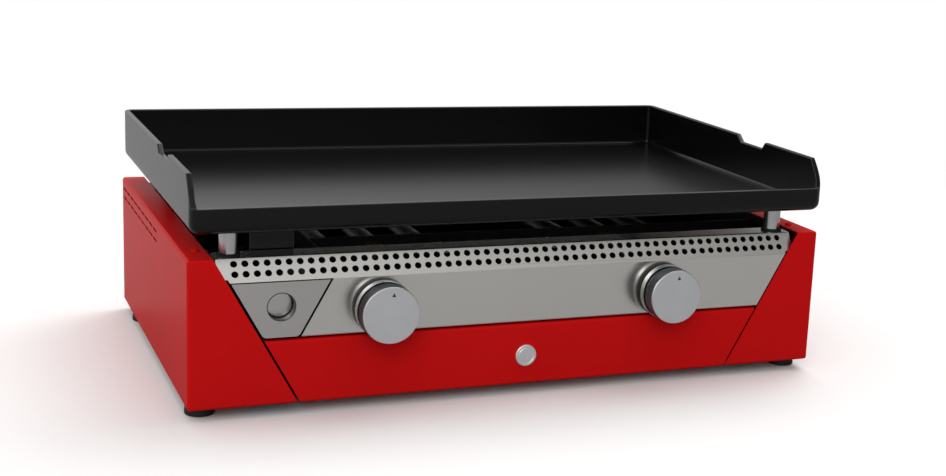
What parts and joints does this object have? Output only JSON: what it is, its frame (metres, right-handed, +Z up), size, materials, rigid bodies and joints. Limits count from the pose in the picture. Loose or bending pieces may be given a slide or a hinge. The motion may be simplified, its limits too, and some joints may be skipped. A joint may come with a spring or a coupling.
{
  "type": "tabletop gas griddle barbecue",
  "caption": "Tabletop gas griddle: walled enamelled plate on legs over a folded red body with burners, knobs and a pull-out grease tray.",
  "frame": {"origin": "middle of the footprint, on the surface that the feet stand on", "axes": "+X to the right along the control panel, +Y from the knobs to the back, +Z up"},
  "size_m": [0.6, 0.4166, 0.2091],
  "materials": {
    "red_paint": "gloss",
    "panel_steel": "brushed",
    "tray_steel": "brushed",
    "enamel": "satin",
    "cap_aluminium": "satin",
    "bezel_chrome": "polished",
    "grip_plastic": "matte",
    "gasket_rubber": "matte",
    "foot_rubber": "matte",
    "leg_steel": "turned",
    "galvanised": "galvanised",
    "burner_steel": "satin",
    "valve_brass": "machined",
    "pipe_aluminium": "drawn",
    "screw_steel": "zinc plated",
    "medallion_metal": "satin",
    "electrode_ceramic": "glazed",
    "module_plastic": "matte"
  },
  "bodies": {
    "chassis": {"back_panel": "red_paint", "base_pan": "galvanised", "burner_left": "burner_steel", "burner_right": "burner_steel", "control_panel": "panel_steel", "electrodes": "electrode_ceramic", "feed_tube_left": "pipe_aluminium", "feed_tube_right": "pipe_aluminium", "foot_front_left": "foot_rubber", "foot_front_right": "foot_rubber", "foot_rear_left": "foot_rubber", "foot_rear_right": "foot_rubber", "foot_screws": "screw_steel", "front_rail": "galvanised", "gas_inlet": "valve_brass", "gas_valve_left": "valve_brass", "gas_valve_right": "valve_brass", "heat_baffle": "galvanised", "igniter_module": "module_plastic", "injector_left": "valve_brass", "injector_right": "valve_brass", "knob_bezel_left": "bezel_chrome", "knob_bezel_right": "bezel_chrome", "knob_gaskets": "gasket_rubber", "left_shell": "red_paint", "leg_front_left": "leg_steel", "leg_front_right": "leg_steel", "leg_rear_left": "leg_steel", "leg_rear_right": "leg_steel", "leg_washers": "gasket_rubber", "lower_front": "red_paint", "manifold": "pipe_aluminium", "medallion": "medallion_metal", "panel_brackets": "galvanised", "rear_rail": "galvanised", "right_shell": "red_paint", "shell_screws": "red_paint", "side_baffle_left": "galvanised", "side_baffle_right": "galvanised", "supply_pipe": "pipe_aluminium", "thermocouples": "leg_steel", "tray_partition": "galvanised", "tray_rail": "galvanised"},
    "push_left": {"spring_cup_left": "screw_steel", "return_spring_left": "screw_steel"},
    "knob_left": {"knob_grip_left": "grip_plastic", "knob_cap_left": "cap_aluminium", "valve_spindle_left": "screw_steel"},
    "push_right": {"spring_cup_right": "screw_steel", "return_spring_right": "screw_steel"},
    "knob_right": {"knob_grip_right": "grip_plastic", "knob_cap_right": "cap_aluminium", "valve_spindle_right": "screw_steel"},
    "grease_tray": {"tray_front": "tray_steel", "finger_cup": "grip_plastic", "finger_disc": "tray_steel", "grease_trough": "tray_steel"},
    "griddle_plate": {"griddle": "enamel", "grease_chute": "enamel"}
  },
  "joints": [
    {"name": "knob_left_push", "type": "slide", "parent": "chassis", "child": "push_left", "axis": [0, 1, 0], "range_m": [0, 0.0034], "stiffness_N_per_m": 3000, "springref_m": -0.001},
    {"name": "knob_left_turn", "type": "hinge", "parent": "push_left", "child": "knob_left", "pos_m": [-0.1352, -0.1797, 0.0904], "axis": [0, -1, 0], "range_deg": [0, 210]},
    {"name": "knob_right_push", "type": "slide", "parent": "chassis", "child": "push_right", "axis": [0, 1, 0], "range_m": [0, 0.0034], "stiffness_N_per_m": 3000, "springref_m": -0.001},
    {"name": "knob_right_turn", "type": "hinge", "parent": "push_right", "child": "knob_right", "pos_m": [0.1352, -0.1797, 0.0904], "axis": [0, -1, 0], "range_deg": [0, 210]},
    {"name": "grease_tray_slide", "type": "slide", "parent": "chassis", "child": "grease_tray", "axis": [0, -1, 0], "range_m": [0, 0.14]},
    {"name": "griddle_lift", "type": "slide", "parent": "chassis", "child": "griddle_plate", "axis": [0, 0, 1], "range_m": [0, 0.12]}
  ]
}
